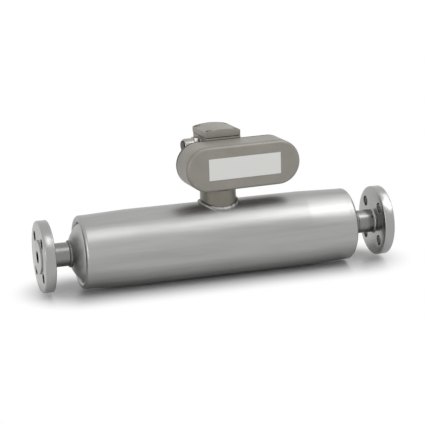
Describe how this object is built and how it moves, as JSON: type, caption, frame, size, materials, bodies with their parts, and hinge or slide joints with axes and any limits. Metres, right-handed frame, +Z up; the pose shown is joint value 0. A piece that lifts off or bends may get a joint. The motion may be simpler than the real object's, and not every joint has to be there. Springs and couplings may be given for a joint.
{
  "type": "coriolis flow meter",
  "caption": "Straight-tube coriolis flow meter: cylindrical steel body between flanges, with a swivelling racetrack converter housing and terminal box on a stem.",
  "frame": {"origin": "centre of the inlet's raised sealing face, on the pipe axis", "axes": "+X along the pipe from inlet to outlet, +Z up to the converter, +Y to the back, where the terminal box is"},
  "size_m": [0.488, 0.1365, 0.1932],
  "materials": {
    "stainless": "brushed stainless steel",
    "machined_stainless": "turned stainless steel",
    "weld": "bright weld bead",
    "grey_coat": "cast aluminium with a matt warm-grey coat",
    "stem_coat": "steel with a matt warm-grey coat",
    "label": "bare white label plate",
    "seal": "black rubber",
    "black_plastic": "black plastic",
    "dark_plastic": "dark grey plastic",
    "board": "green circuit board",
    "copper": "copper winding",
    "magnet": "sintered magnet",
    "brass": "brass",
    "nickel": "nickel-plated brass",
    "screw_steel": "stainless steel screws",
    "ceramic": "ceramic"
  },
  "bodies": {
    "sensor": {"inlet_flange": "machined_stainless", "outlet_flange": "machined_stainless", "inlet_neck_weld": "weld", "outlet_neck_weld": "weld", "inlet_end_dome": "stainless", "outlet_end_dome": "stainless", "inlet_end_ring": "stainless", "outlet_end_ring": "stainless", "outer_shell": "stainless", "inlet_bulkhead": "machined_stainless", "outlet_bulkhead": "machined_stainless", "support_tube": "stainless", "measuring_tube": "machined_stainless", "drive_magnet_clip": "machined_stainless", "drive_magnet": "magnet", "drive_coil": "copper", "drive_coil_bracket": "stainless", "inlet_magnet_clip": "machined_stainless", "inlet_magnet": "magnet", "inlet_pickup_coil": "copper", "inlet_coil_bracket": "stainless", "outlet_magnet_clip": "machined_stainless", "outlet_magnet": "magnet", "outlet_pickup_coil": "copper", "outlet_coil_bracket": "stainless", "tube_temperature_sensor": "ceramic", "support_temperature_sensor": "ceramic", "sensor_harness": "dark_plastic", "stem": "stem_coat", "stem_weld": "weld", "feedthrough_header": "machined_stainless", "stem_o_ring": "seal", "stem_ring_nut": "machined_stainless"},
    "converter": {"housing_can": "grey_coat", "label_plate": "label", "housing_gasket": "seal", "rear_casting": "grey_coat", "rear_cover_screws": "screw_steel", "main_board": "board", "power_board": "board", "board_standoffs": "brass", "board_screws": "screw_steel", "sensor_lead": "dark_plastic", "terminal_lead": "dark_plastic", "terminal_block": "dark_plastic", "terminal_clamp_screws": "screw_steel", "earth_screw": "screw_steel", "gland_washer": "seal", "gland_body": "nickel", "gland_seal": "seal", "gland_dome_nut": "nickel", "gland_blank": "black_plastic", "lid_gasket": "seal"},
    "lid": {"terminal_lid": "grey_coat", "lid_screws": "screw_steel"}
  },
  "joints": [
    {"name": "converter_swivel", "type": "hinge", "parent": "sensor", "child": "converter", "pos_m": [0.249, 0, 0.0996], "axis": [0, 0, 1], "range_deg": [-93.5, 86.5]},
    {"name": "terminal_lid_lift", "type": "slide", "parent": "converter", "child": "lid", "axis": [0, 0, 1], "range_m": [0, 0.06]}
  ]
}
